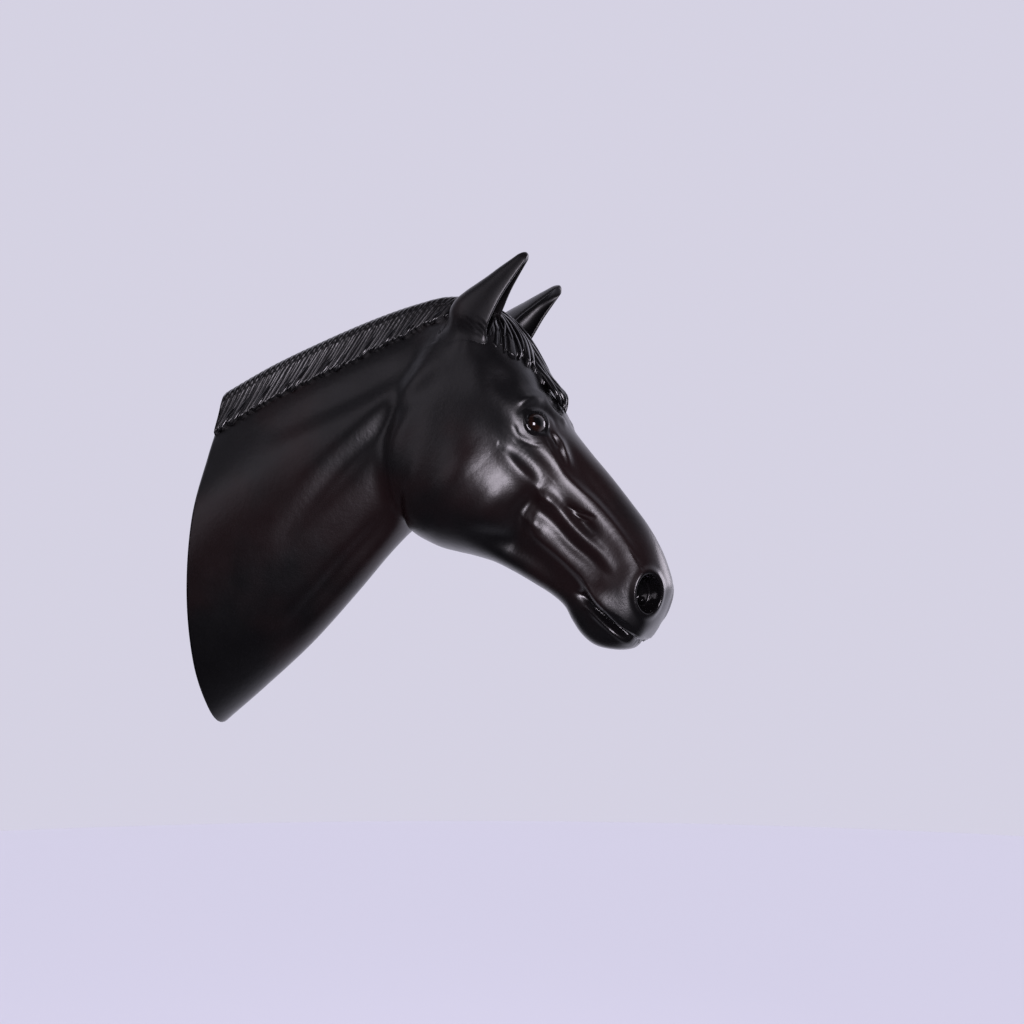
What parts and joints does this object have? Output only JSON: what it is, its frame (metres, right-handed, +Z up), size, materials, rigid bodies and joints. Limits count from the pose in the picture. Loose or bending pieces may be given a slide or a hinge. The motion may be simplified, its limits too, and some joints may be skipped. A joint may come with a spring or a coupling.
{
  "type": "wall-mounted horse head sculpture",
  "caption": "Life-like horse head and neck cast in black resin, with a short mane, forelock and glass eyes, cut flat at the back to hang on a wall.",
  "frame": {"origin": "centre of width of the flat back on the wall plane, at the height where the neck is widest, 0.229 m above the lowest point", "axes": "+X out of the wall, the way the horse looks; +Z up; -Y the horse's right side"},
  "size_m": [0.634, 0.193, 0.5996],
  "materials": {
    "horse_head": "satin black resin with a faint red-brown undertone; mane, forelock, nostrils and lids glossier",
    "eye_right": "polished glass eye, dark brown iris and black pupil",
    "eye_left": "polished glass eye, dark brown iris and black pupil"
  },
  "bodies": {
    "root": {"horse_head": "horse_head", "eye_right": "eye_right", "eye_left": "eye_left"}
  },
  "joints": []
}
